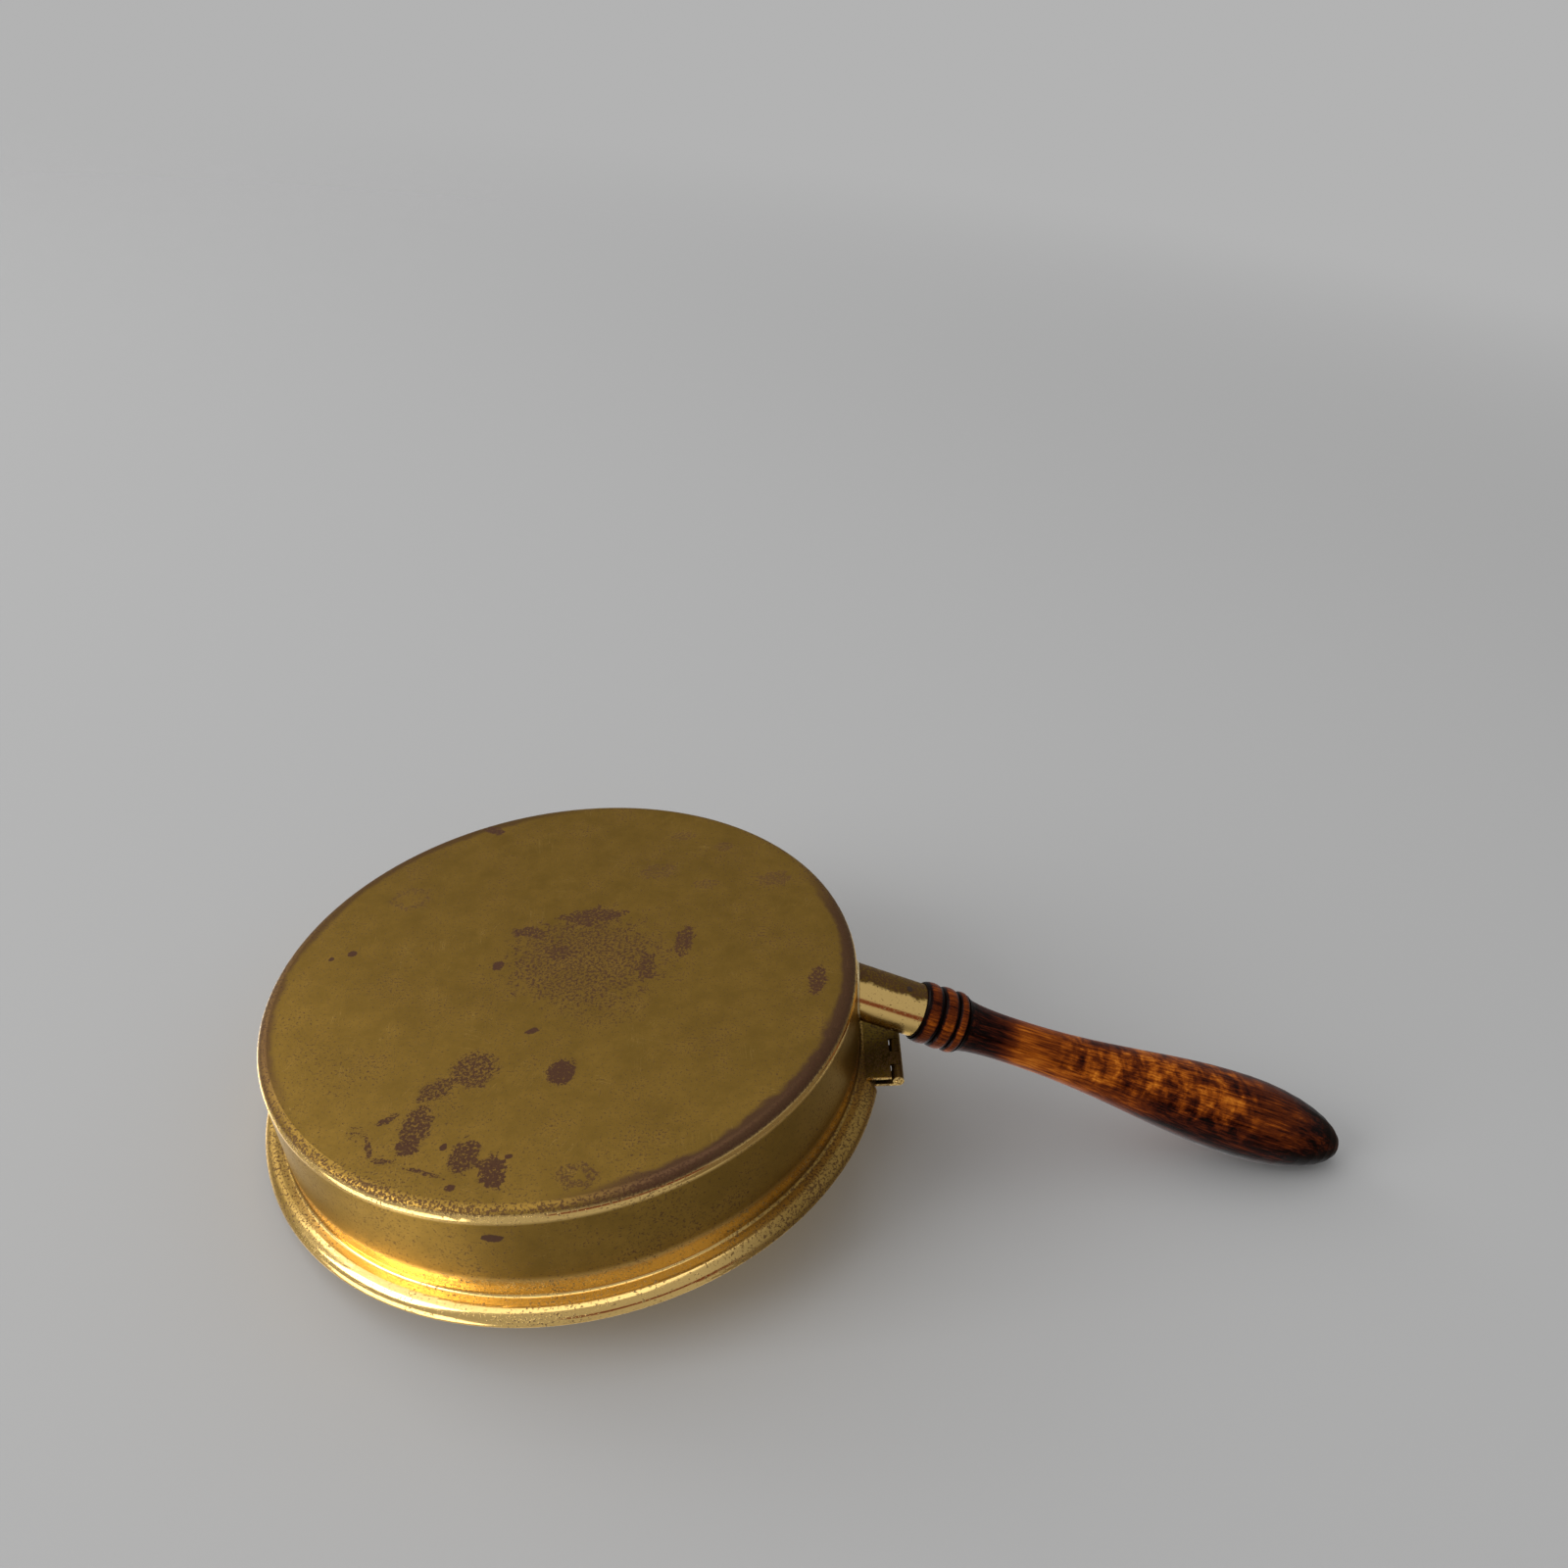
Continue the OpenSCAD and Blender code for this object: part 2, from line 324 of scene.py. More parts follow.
class Effects:
    """Node groups that more than one finish uses."""

    def __init__(self) -> None:
        """Build each group once."""
        self.stain = self._stain()
        self.pits = self._pits()
        self.scratches = self._scratches()
        self.dents = self._dents()

    @staticmethod
    def _stain() -> bpy.types.NodeTree:
        """Make a ragged stain that breaks up into specks and fills the unit circle of its frame.

        Returns:
            The group's tree.
        """
        values = ("Coarse", "Grain", "Ragged", "Density", "Hollow")
        inputs = {"Place": VECTOR} | dict.fromkeys(values, FLOAT)
        recipe, given, made = new_group("stain", inputs, {"Mask": FLOAT})
        x, y, _ = recipe.split(given["Place"])
        reach = recipe.distance(x, y)
        inside = recipe.math("MINIMUM", recipe.math("SUBTRACT", 1.0, reach),
                             recipe.math("SUBTRACT", reach, given["Hollow"]))
        inside = recipe.math("ADD", inside, recipe.math("MULTIPLY", given["Coarse"], given["Ragged"]))
        profile = recipe.step(inside, -0.12, 0.42)
        need = recipe.math("SUBTRACT", 0.72, recipe.math("MULTIPLY", profile, given["Density"]))
        mask = recipe.step(recipe.math("SUBTRACT", given["Grain"], need), 0.0, 0.05)
        recipe.feed(made["Mask"], recipe.math("MULTIPLY", mask, recipe.step(profile, 0.0, 0.08)))
        return recipe.tree

    @staticmethod
    def _pits() -> bpy.types.NodeTree:
        """Make fine dark specks that crowd together where the surface is worn.

        Returns:
            The group's tree.
        """
        recipe, given, made = new_group("pits", {"Surface": VECTOR, "Crowd": FLOAT}, {"Mask": FLOAT})
        where = recipe.noise(given["Surface"], 0.05, 3.0, 0.6)
        fine = recipe.noise(given["Surface"], 1.5, 3.0, 0.75)
        need = recipe.math("SUBTRACT", 0.76, recipe.math("MULTIPLY", where, 0.26))
        need = recipe.math("SUBTRACT", need, recipe.math("MULTIPLY", given["Crowd"], 0.16))
        recipe.feed(made["Mask"], recipe.step(recipe.math("SUBTRACT", fine, need), 0.0, 0.04))
        return recipe.tree

    @staticmethod
    def _scratches() -> bpy.types.NodeTree:
        """Make fine scratches: thin lines of a stretched, turned noise, broken into strokes.

        Returns:
            The group's tree.
        """
        recipe, given, made = new_group("scratches", {"Surface": VECTOR, "Amount": FLOAT}, {"Mask": FLOAT})
        layers = []
        for turn, stretch in ((18, 0.03), (-63, 0.045), (82, 0.035)):
            turned = recipe.move(given["Surface"], (3.0 * turn, 0, 0), (0, 0, turn), (1.0, 1.0, 1.0))
            drawn = recipe.add("ShaderNodeVectorMath", operation="MULTIPLY")
            recipe.feed(drawn.inputs[0], turned)
            drawn.inputs[1].default_value = (stretch, 1.1, 0.6)
            line = recipe.noise(drawn.outputs[0], 1.0, 2.0, 0.5)
            thin = recipe.math("ABSOLUTE", recipe.math("SUBTRACT", line, 0.5))
            stroke = recipe.math("SUBTRACT", 1.0, recipe.step(thin, 0.0, 0.006))
            broken = recipe.step(recipe.noise(turned, 0.07, 2.0, 0.5), 0.58, 0.68)
            layers.append(recipe.math("MULTIPLY", stroke, broken))
        recipe.feed(made["Mask"], recipe.math("MULTIPLY", recipe.most(*layers), given["Amount"]))
        return recipe.tree

    @staticmethod
    def _dents() -> bpy.types.NodeTree:
        """Make the soft unevenness of spun sheet and of years of handling.

        Returns:
            The group's tree.
        """
        recipe, given, made = new_group(
            "dents", {"Surface": VECTOR, "Broad": FLOAT, "Fine": FLOAT}, {"Height": FLOAT})
        broad = recipe.math("MULTIPLY", recipe.noise(given["Surface"], 0.035, 2.0, 0.5), given["Broad"])
        fine = recipe.math("MULTIPLY", recipe.noise(given["Surface"], 0.4, 3.0, 0.6), given["Fine"])
        recipe.feed(made["Height"], recipe.math("ADD", broad, fine))
        return recipe.tree


# ------------------------------------------------------------------------ finishes


def principled(name: str) -> tuple[bpy.types.Material, Recipe, bpy.types.Node]:
    """Start a material.

    Args:
        name: The material's name.

    Returns:
        The material, a recipe for its tree and its Principled BSDF.
    """
    material = bpy.data.materials.new(name)
    material.use_nodes = True
    recipe = Recipe(material.node_tree)
    return material, recipe, material.node_tree.nodes["Principled BSDF"]


@dataclass(frozen=True)
class Stain:
    """One mark of tarnish: centre and half sizes in millimetres, and how ragged and dense it is.

    It is 1 at its deepest, and hollow when its middle is clear to a share of its reach.
    """

    x: float
    y: float
    half_length: float
    half_width: float
    turn: float = 0.0
    ragged: float = 0.8
    density: float = 0.3
    depth: float = 1.0
    hollow: float = -1.0


@dataclass(frozen=True)
class BrassFinish:
    """Brass with an old film on it, and tarnish where the film has gone."""

    name: str
    clean: Colour = paint(239, 201, 125)
    dull: Colour = paint(137, 107, 48)
    tarnish: Colour = paint(66, 36, 20)
    bruise: Colour = paint(84, 58, 48)
    edge: Colour = paint(250, 234, 204)
    shine: float = 0.15
    dull_rough: float = 0.36
    dull_from: float = 0.45
    dull_to: float = 0.62
    crowd: float = 0.2
    broad_dents: float = 0.35
    fine_dents: float = 0.012
    scratches: float = 0.5


class BrassRecipe:
    """A brass material in the making."""

    def __init__(self, finish: BrassFinish, effects: Effects) -> None:
        """Set up the surface, the dull film and the noises that all marks share.

        Args:
            finish: The finish's colours and wear.
            effects: The shared node groups.
        """
        self.finish = finish
        self.effects = effects
        self.material, self.recipe, self.shader = principled(finish.name)
        self.surface = self.recipe.millimetres()
        self.x, self.y, self.z = self.recipe.split(self.surface)
        self.radius = self.recipe.distance(self.x, self.y)
        film = self.recipe.noise(self.surface, 0.03, 5.0, 0.6, 0.4)
        self.film: Value = self.recipe.step(film, finish.dull_from, finish.dull_to)
        self.crowd: Value = finish.crowd
        self.marks: Value = 0.0
        self.bruise: Value = 0.0
        self.coarse = self.recipe.math("SUBTRACT", self.recipe.noise(self.surface, 0.36, 5.0, 0.7), 0.5)
        self.grain = self.recipe.noise(self.surface, 1.15, 4.0, 0.8)

    def add_mark(self, mask: Value) -> None:
        """Add a mask of tarnish to the marks."""
        self.marks = self.recipe.math("MAXIMUM", self.marks, mask)

    def stain(self, mark: Stain, place: Value, within: Value) -> None:
        """Add one stain.

        Args:
            mark: The stain's roughness and depth.
            place: Position in units of the stain.
            within: Mask of the part of the surface that it may lie on.
        """
        group = self.recipe.group(self.effects.stain, Place=place, Coarse=self.coarse, Grain=self.grain,
                                  Ragged=mark.ragged, Density=mark.density, Hollow=mark.hollow)
        mask = self.recipe.math("MULTIPLY", group.outputs[0], mark.depth)
        self.add_mark(self.recipe.math("MULTIPLY", mask, within))

    def facing(self, azimuth: float, half_angle: float) -> Value:
        """Pick the side of the pan that faces an azimuth.

        Args:
            azimuth: The direction from the axis, in degrees from the handle.
            half_angle: Where the mask has faded to 0, in degrees from that direction.

        Returns:
            The mask's socket.
        """
        turn = math.radians(azimuth)
        along = self.recipe.math("ADD", self.recipe.math("MULTIPLY", self.x, math.cos(turn)),
                                 self.recipe.math("MULTIPLY", self.y, math.sin(turn)))
        cosine = self.recipe.math("DIVIDE", along, self.radius)
        return self.recipe.step(cosine, math.cos(math.radians(half_angle)),
                                math.cos(math.radians(half_angle * 0.6)))

    def finish_material(self) -> bpy.types.Material:
        """Join film, marks, scratches and dents into the shader.

        Returns:
            The finished material.
        """
        recipe, finish = self.recipe, self.finish
        pits = recipe.group(self.effects.pits, Surface=self.surface, Crowd=self.crowd).outputs[0]
        marks = recipe.most(recipe.math("MULTIPLY", pits, 0.8), self.marks)
        tone = recipe.step(recipe.noise(self.surface, 0.1, 10.0, 0.75), 0.3, 0.7)
        dull = recipe.mix(tone, shade(finish.dull, 0.84), shade(finish.dull, 1.14))
        colour = recipe.mix(self.film, finish.clean, dull)
        scratches = recipe.group(self.effects.scratches, Surface=self.surface, Amount=finish.scratches)
        scratch = scratches.outputs[0]
        colour = recipe.mix(recipe.math("MULTIPLY", scratch, 0.5), colour, finish.clean)
        colour = recipe.mix(self.bruise, colour, finish.bruise)
        grain = recipe.noise(self.surface, 2.2, 2.0, 0.6)
        tarnish = recipe.mix(grain, shade(finish.tarnish, 0.6), shade(finish.tarnish, 1.5))
        colour = recipe.mix(marks, colour, tarnish)
        recipe.feed(self.shader.inputs["Base Color"], colour)
        recipe.feed(self.shader.inputs["Specular Tint"], finish.edge)
        rough = recipe.math("MULTIPLY", self.film, finish.dull_rough - finish.shine)
        rough = recipe.math("ADD", rough, finish.shine)
        rough = recipe.math("ADD", rough, recipe.math("MULTIPLY", marks, 0.3), clamp=True)
        recipe.feed(self.shader.inputs["Roughness"], rough)
        metallic = recipe.math("SUBTRACT", 1.0, recipe.math("MULTIPLY", marks, 0.6))
        recipe.feed(self.shader.inputs["Metallic"], metallic)
        dents = recipe.group(self.effects.dents, Surface=self.surface, Broad=finish.broad_dents,
                             Fine=finish.fine_dents)
        height = recipe.math("ADD", dents.outputs[0], recipe.math("MULTIPLY", pits, 0.02))
        height = recipe.math("SUBTRACT", height, recipe.math("MULTIPLY", scratch, 0.01))
        recipe.feed(self.shader.inputs["Normal"], recipe.bump(height))
        return self.material


def dress(node: str, material: bpy.types.Material) -> None:
    """Give a CAD node its finish.

    Args:
        node: The node's name.
        material: The finish.
    """
    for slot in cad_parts[node].material_slots:
        slot.material = material


# -------------------------------------------------------------------- sub-assemblies


@dataclass
class PanBody:
    """The spun pan with its tarnished underside.

    A span says where a mask is 0 and where it is 1: heights and radii in millimetres.
    """

    effects: Effects
    stains: tuple[Stain, ...] = (
        Stain(5.7, 39.3, 4.7, 5.7, ragged=0.8, density=0.35),
        # the cloud in the middle, with its darker patches
        Stain(5.5, -4, 29, 25, turn=20, ragged=1.8, density=0.23),
        Stain(13, 14, 17, 14, turn=10, ragged=1.8, density=0.17),
        Stain(5.6, -23, 12, 5.5, turn=-8, ragged=2.4, density=0.29),
        Stain(-11.7, -16.7, 7, 3.6, turn=10, ragged=2.2, density=0.29),
        Stain(-1.7, -7.4, 6, 4.5, turn=20, ragged=2.2, density=0.28),
        Stain(-18.6, -2.9, 2.2, 2.4, ragged=1.2, density=0.38),
        Stain(23.5, -0.5, 4, 8, turn=-6, ragged=2.2, density=0.28),
        Stain(33.7, -10.7, 3.4, 8.4, turn=4, ragged=1.8, density=0.29),
        Stain(71.4, 8.4, 3.2, 7.2, turn=8, ragged=1.6, density=0.3),
        # the belt at the left and what hangs below it
        Stain(-17.3, 37.3, 8.0, 8.6, turn=-20, ragged=0.9, density=0.27),
        Stain(-25.5, 43.6, 7.4, 4.0, turn=140, ragged=1.2, density=0.27),
        Stain(-27.9, 56.0, 5.0, 9.4, turn=3, ragged=1.1, density=0.29, hollow=-0.4),
        Stain(-28.4, 61.5, 3.8, 4.2, ragged=1.2, density=0.32),
        Stain(-13.8, 65.6, 4.6, 7.0, turn=8, ragged=1.8, density=0.3),
        Stain(-9.5, 67.8, 4.0, 2.0, turn=30, ragged=1.6, density=0.29),
        Stain(-6.0, 70.2, 4.2, 6.2, turn=-8, ragged=1.8, density=0.33),
        # small marks, a crooked thread and a faint ring near the edge
        Stain(-4.4, 23.9, 2.2, 1.2, turn=-20, ragged=1.4, density=0.4),
        Stain(-35.6, 53.0, 3.6, 1.3, turn=-32, ragged=2.0, density=0.3),
        Stain(-38, 61.6, 5.4, 1.0, turn=66, ragged=2.0, density=0.27),
        Stain(-33.3, 66.0, 4.4, 1.0, turn=8, ragged=2.0, density=0.27),
        Stain(-22.9, 69.8, 8.4, 0.8, turn=19, ragged=1.8, density=0.27),
        Stain(-42, 57.5, 4.0, 3.0, turn=20, ragged=2.0, density=0.2),
        Stain(-19.5, 62.3, 1.2, 1.3, ragged=1.0, density=0.4),
        Stain(-3.0, 65.9, 1.2, 1.0, ragged=1.0, density=0.4),
        Stain(-15.3, 74.6, 1.6, 1.3, ragged=1.2, density=0.36),
        Stain(14.1, 72.4, 6.4, 5.3, ragged=1.4, density=0.26, depth=0.8, hollow=0.0),
        # faint patches toward the back
        Stain(59.2, -37.8, 6, 5, ragged=1.8, density=0.28, depth=0.7),
        Stain(38.6, -36.1, 5, 3.4, ragged=2.0, density=0.25, depth=0.7),
        Stain(23.1, -43.8, 8, 5, ragged=2.0, density=0.25, depth=0.7),
        Stain(43.7, -55.8, 4, 3, ragged=1.8, density=0.26, depth=0.7),
        Stain(29.9, -62.2, 5, 3.6, ragged=1.8, density=0.25, depth=0.7),
        Stain(-51.6, -35.3, 8, 7, ragged=1.4, density=0.25, depth=0.7, hollow=0.2),
        Stain(-62.6, -10.8, 1.7, 1.5, ragged=1.0, density=0.4),
        Stain(-68.1, -8.9, 1.1, 1.1, ragged=0.9, density=0.4),
        Stain(-32.4, -70.1, 4.6, 2.6, turn=25, ragged=1.4, density=0.32),
    )
    wall_spot: Stain = Stain(-5.4, 82.5, 3.2, 1.6, ragged=0.4, density=0.42)
    wall_spot_height: float = 8.5
    under: Span = (1.7, 0.9)
    wall_foot: Span = (3.0, 4.4)
    wall_top: Span = (26.0, 22.5)
    lip: Span = (26.0, 29.0)
    edge: tuple[Span, Span] = ((78.5, 81.5), (1.9, 1.1))
    bruise: tuple[Span, Span] = ((77.0, 79.0), (2.0, 1.2))
    flat: Span = (1.0, 0.5)

    def build(self) -> None:
        """Dress the pan."""
        brass = BrassRecipe(BrassFinish("pan_brass"), self.effects)
        under = self._film(brass)
        self._bruise(brass)
        self._tarnish(brass, under)
        dress("pan", brass.finish_material())
        LOG.info("pan dressed")

    def _film(self, brass: BrassRecipe) -> Socket:
        """Leave the old film where hands don't rub it, and crowd the pits along the edges; the film on two
        sides of the lip is partly old film and partly a painted dark reflection.

        Args:
            brass: The pan's brass.

        Returns:
            The mask of the underside.
        """
        recipe = brass.recipe
        under = recipe.step(brass.z, *self.under)
        wall = recipe.math("MULTIPLY", recipe.step(brass.z, *self.wall_foot),
                           recipe.step(brass.z, *self.wall_top))
        # the lip's outer band is dull on its two sides and bright at the front; on the sides that dull
        # film is partly old film and partly a painted dark reflection
        lip = recipe.math("MULTIPLY", recipe.step(brass.z, *self.lip),
                          recipe.most(brass.facing(8, 56), brass.facing(170, 42)))
        brass.film = recipe.most(under, wall, recipe.math("MULTIPLY", lip, 0.85))
        radii, heights = self.edge
        edge = recipe.math("MULTIPLY", recipe.step(brass.radius, *radii), recipe.step(brass.z, *heights))
        crowd = recipe.most(edge, recipe.math("MULTIPLY", lip, 0.6))
        brass.crowd = recipe.math("ADD", 0.3, recipe.math("MULTIPLY", crowd, 0.7))
        return under

    def _bruise(self, brass: BrassRecipe) -> None:
        """Darken a ragged band inside the edge, on two sides of the pan.

        Args:
            brass: The pan's brass.
        """
        recipe = brass.recipe
        wave = recipe.math("SUBTRACT", recipe.noise(brass.surface, 0.1, 5.0, 0.65), 0.5)
        pulled = recipe.math("ADD", brass.radius, recipe.math("MULTIPLY", wave, 6.0))
        radii, heights = self.bruise
        band = recipe.math("MULTIPLY", recipe.step(pulled, *radii), recipe.step(brass.z, *heights))
        sides = recipe.most(brass.facing(26, 62), recipe.math("MULTIPLY", brass.facing(205, 70), 0.8))
        brass.bruise = recipe.math("MULTIPLY", recipe.math("MULTIPLY", band, sides), 0.85)

    def _tarnish(self, brass: BrassRecipe, under: Socket) -> None:
        """Lay the stains on the underside and the spot on the wall.

        Args:
            brass: The pan's brass.
            under: The mask of the underside.
        """
        recipe, spot = brass.recipe, self.wall_spot
        flat = recipe.math("MULTIPLY", under, recipe.step(brass.z, *self.flat))
        for mark in self.stains:
            place = recipe.move(brass.surface, (mark.x, mark.y, 0.0), (0, 0, mark.turn),
                                (mark.half_length, mark.half_width, 1.0))
            brass.stain(mark, place, flat)
        place = recipe.move(brass.surface, (spot.x, spot.y, self.wall_spot_height), (90, 0, 4),
                            (spot.half_length, spot.half_width, 4.0))
        brass.stain(spot, place, recipe.step(brass.y, 60.0, 70.0))


@dataclass
class LidBody:
    """The spun lid."""

    effects: Effects

    def build(self) -> None:
        """Dress the lid."""
        finish = BrassFinish("lid_brass", dull=paint(158, 126, 62), shine=0.2, dull_rough=0.34,
                             dull_from=0.3, dull_to=0.66, crowd=0.35)
        dress("lid", BrassRecipe(finish, self.effects).finish_material())
        LOG.info("lid dressed")


@dataclass
class Hinge:
    """The two leaves and their pin.

    The leaves' ends are left as clean, brighter brass, a painted highlight, over a depth that is given in
    millimetres.
    """

    effects: Effects
    nodes: tuple[str, ...] = ("pan_leaf", "lid_leaf", "hinge_pin")
    end_highlight_depth: Span = (0.1, 0.35)

    def build(self) -> None:
        """Dress the leaves and the pin."""
        brass = BrassRecipe(BrassFinish("hinge_brass", dull=paint(104, 84, 34), crowd=0.6), self.effects)
        low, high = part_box("pan_leaf")
        half = (high[1] - low[1]) / MM / 2
        across = brass.recipe.math("ABSOLUTE", brass.y)
        # painted highlight: the film stops short of the hinge's ends, which are left as clean, brighter
        # brass
        brass.film = brass.recipe.step(across, *(half - depth for depth in self.end_highlight_depth))
        material = brass.finish_material()
        for node in self.nodes:
            dress(node, material)
        LOG.info("hinge dressed")


@dataclass(frozen=True)
class HandleAxis:
    """The line that ferrule and handle are turned about: its rise in degrees, lengths in millimetres."""

    rise: float = 26.5
    ferrule_length: float = 18.2

    def radius(self) -> float:
        """Return the ferrule's outer radius."""
        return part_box("ferrule")[1].y / MM

    def along(self) -> Vector:
        """Return the axis's direction, away from the pan."""
        return Vector((math.cos(math.radians(self.rise)), 0, math.sin(math.radians(self.rise))))

    def start(self) -> Vector:
        """Find where the axis leaves the pan's wall, working back from the ferrule's outer end.

        Returns:
            The point, in millimetres.
        """
        along, high = self.along(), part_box("ferrule")[1] / MM
        end = Vector((high.x - self.radius() * along.z, 0, high.z - self.radius() * along.x))
        return end - self.ferrule_length * along

    def place(self, recipe: Recipe) -> Value:
        """Return the position with x toward the underside, y across and z along the axis."""
        return recipe.move(recipe.millimetres(), tuple(self.start()), (0, 90 - self.rise, 0), (1, 1, 1))


@dataclass(frozen=True)
class PlainMetal:
    """A small piece's metal: two tones in a fine grain, which is rougher where it is lighter."""

    name: str
    dark: Colour
    light: Colour
    metallic: float
    rough: float
    grain: float

    def make(self) -> bpy.types.Material:
        """Build the material.

        Returns:
            The finished material.
        """
        material, recipe, shader = principled(self.name)
        shader.inputs["Metallic"].default_value = self.metallic
        tone = recipe.noise(recipe.millimetres(), self.grain, 4.0, 0.6)
        recipe.feed(shader.inputs["Base Color"], recipe.mix(tone, self.dark, self.light))
        rough = recipe.math("ADD", recipe.math("MULTIPLY", tone, 0.3), self.rough)
        recipe.feed(shader.inputs["Roughness"], rough)
        return material


@dataclass
class Ferrule:
    """The ferrule with its nail and the solder that holds it to the pan; the bead is in metres."""

    effects: Effects
    axis: HandleAxis
    bead: float = 0.0006
    around: int = 96
    across: int = 12
    rust: PlainMetal = PlainMetal("nail_steel", paint(34, 27, 24), paint(86, 62, 46), 0.7, 0.35, 2.5)
    solder: PlainMetal = PlainMetal(
        "ferrule_solder", paint(178, 150, 100), paint(240, 222, 176), 1.0, 0.1, 0.9)

    def build(self) -> None:
        """Make the solder, and dress the ferrule, the nail and the solder."""
        dress("ferrule", self._brass())
        dress("ferrule_nail", self.rust.make())
        solder = self._solder_bead()
        solder.data.materials.append(self.solder.make())
        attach(solder, "pan")
        LOG.info("ferrule dressed, solder has %d faces", len(solder.data.polygons))

    def _solder_bead(self) -> bpy.types.Object:
        """Run a bead of solder round the ferrule's foot, where it meets the pan's wall.

        Returns:
            The bead.
        """
        axis, start = self.axis.along(), self.axis.start() * MM
        bpy.ops.object.select_all(action="DESELECT")
        bpy.ops.mesh.primitive_torus_add(
            major_radius=self.axis.radius() * MM, minor_radius=self.bead,
            major_segments=self.around, minor_segments=self.across)
        solder = bpy.context.active_object
        solder.name = "ferrule_solder"
        solder.rotation_euler = Euler((0, math.radians(90 - self.axis.rise), 0))
        solder.location = start
        bpy.ops.object.transform_apply(location=True, rotation=True, scale=True)
        # each ring slides along the axis until its middle lies on the round wall
        for corner in solder.data.vertices:
            out = corner.co - start
            out -= axis * out.dot(axis)
            middle = start + out.normalized() * self.axis.radius() * MM
            corner.co += axis * ((math.sqrt(start.x ** 2 - middle.y ** 2) - middle.x) / axis.x)
        bpy.ops.object.mode_set(mode="EDIT")
        bpy.ops.mesh.select_all(action="SELECT")
        bpy.ops.mesh.normals_make_consistent(inside=False)
        bpy.ops.object.mode_set(mode="OBJECT")
        bpy.ops.object.shade_smooth()
        return solder

    def _brass(self) -> bpy.types.Material:
        """Leave old film along the ferrule's back, and a weaker dull film on its lower side that is a
        painted dark reflection.

        Returns:
            The ferrule's brass.
        """
        brass = BrassRecipe(BrassFinish("ferrule_brass", dull=paint(112, 86, 34)), self.effects)
        recipe = brass.recipe
        place = self.axis.place(recipe)
        under, side, _ = recipe.split(place)
        wave = recipe.noise(place, 0.25, 5.0, 0.65)
        wave = recipe.math("MULTIPLY", recipe.math("SUBTRACT", wave, 0.5), 4.0)
        back = recipe.math("ADD", recipe.math("ADD", under, wave), recipe.math("MULTIPLY", side, -0.45))
        # painted dark reflection: a weaker dull film on the ferrule's lower side
        low = recipe.math("SUBTRACT", recipe.math("MULTIPLY", side, 0.47),
                          recipe.math("MULTIPLY", under, 0.88))
        brass.film = recipe.most(recipe.step(back, 4.4, 5.6), recipe.step(low, 2.4, 4.6, 0.55))
        brass.crowd = recipe.math("ADD", 0.1, recipe.step(back, 4.0, 6.0, 1.1))
        return brass.finish_material()


